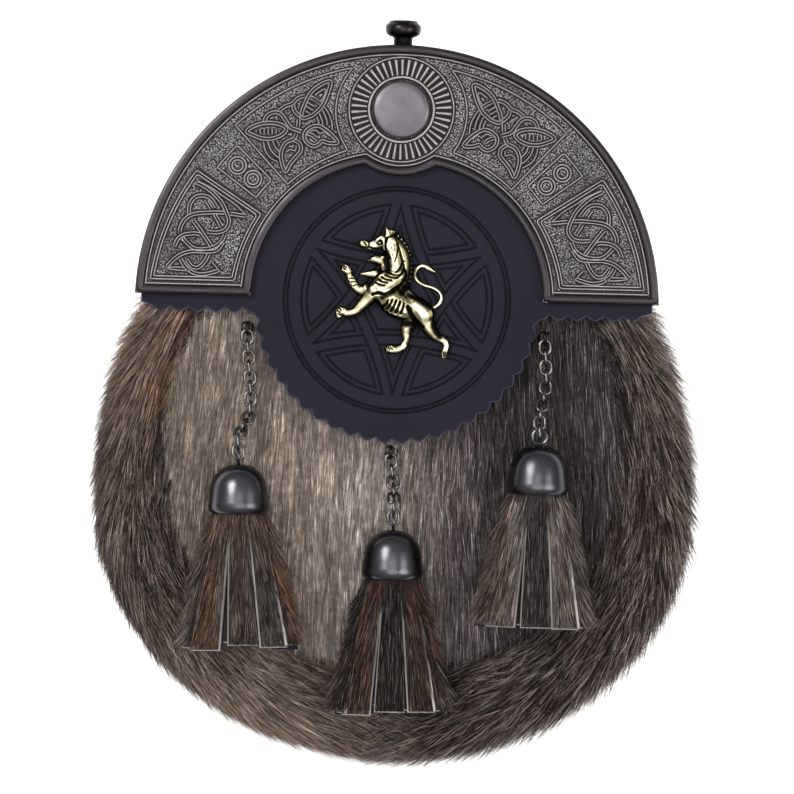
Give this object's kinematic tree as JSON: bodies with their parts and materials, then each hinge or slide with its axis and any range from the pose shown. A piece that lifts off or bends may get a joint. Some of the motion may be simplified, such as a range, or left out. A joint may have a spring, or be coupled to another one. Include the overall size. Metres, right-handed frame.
{
  "type": "sporran",
  "caption": "Dress sporran: hollow fur-faced pouch with a cast metal cantle, a pinked leather flap with a lion badge, a press knob and chained fur tassels, lying on its back.",
  "frame": {"origin": "middle of the flat back panel's outer face, which lies on the surface", "axes": "+X to the right as seen from the front, +Y up the pouch to the knob, +Z out of the front"},
  "size_m": [0.2154, 0.2626, 0.0622],
  "materials": {
    "back_leather": "plain black leather",
    "hide": "hide under the fur",
    "pale_fur": "grey-beige hair lying down",
    "dark_fur": "brown-grey hair with pale tips",
    "tassel_fur": "brown hair on dark strips with pale cut edges",
    "flap_leather": "dark pebbled leather with pressed lines",
    "pewter": "antiqued cast relief, dark in the hollows",
    "gunmetal": "dark bright plating",
    "brass": "pale cast brass, dark in the hollows",
    "chain_steel": "dark bright wire",
    "bail_steel": "plain bright wire",
    "black_iron": "black wire"
  },
  "bodies": {
    "sporran": {"back_panel": "back_leather", "cantle": "pewter", "cap_left": "gunmetal", "cap_middle": "gunmetal", "cap_right": "gunmetal", "flap": "flap_leather", "fur_border": "dark_fur", "fur_front": "pale_fur", "link_left_01": "chain_steel", "link_left_02": "chain_steel", "link_left_03": "chain_steel", "link_left_04": "chain_steel", "link_left_05": "chain_steel", "link_left_06": "chain_steel", "link_left_07": "chain_steel", "link_left_08": "chain_steel", "link_left_09": "chain_steel", "link_left_10": "chain_steel", "link_left_11": "chain_steel", "link_left_12": "chain_steel", "link_left_13": "chain_steel", "link_middle_01": "chain_steel", "link_middle_02": "chain_steel", "link_middle_03": "chain_steel", "link_middle_04": "chain_steel", "link_middle_05": "chain_steel", "link_middle_06": "chain_steel", "link_middle_07": "chain_steel", "link_right_01": "chain_steel", "link_right_02": "chain_steel", "link_right_03": "chain_steel", "link_right_04": "chain_steel", "link_right_05": "chain_steel", "link_right_06": "chain_steel", "link_right_07": "chain_steel", "link_right_08": "chain_steel", "link_right_09": "chain_steel", "link_right_10": "chain_steel", "lion_badge": "brass", "pouch_shell": "hide", "staple_left": "black_iron", "staple_middle": "black_iron", "staple_right": "black_iron", "strap_bail_left": "bail_steel", "strap_bail_right": "bail_steel", "tassel_left": "tassel_fur", "tassel_middle": "tassel_fur", "tassel_right": "tassel_fur"},
    "catch": {"catch_knob": "gunmetal"}
  },
  "joints": [
    {"name": "knob_press", "type": "slide", "parent": "sporran", "child": "catch", "axis": [0, 1, 0], "range_m": [-0.003, 0], "stiffness_N_per_m": 400}
  ]
}
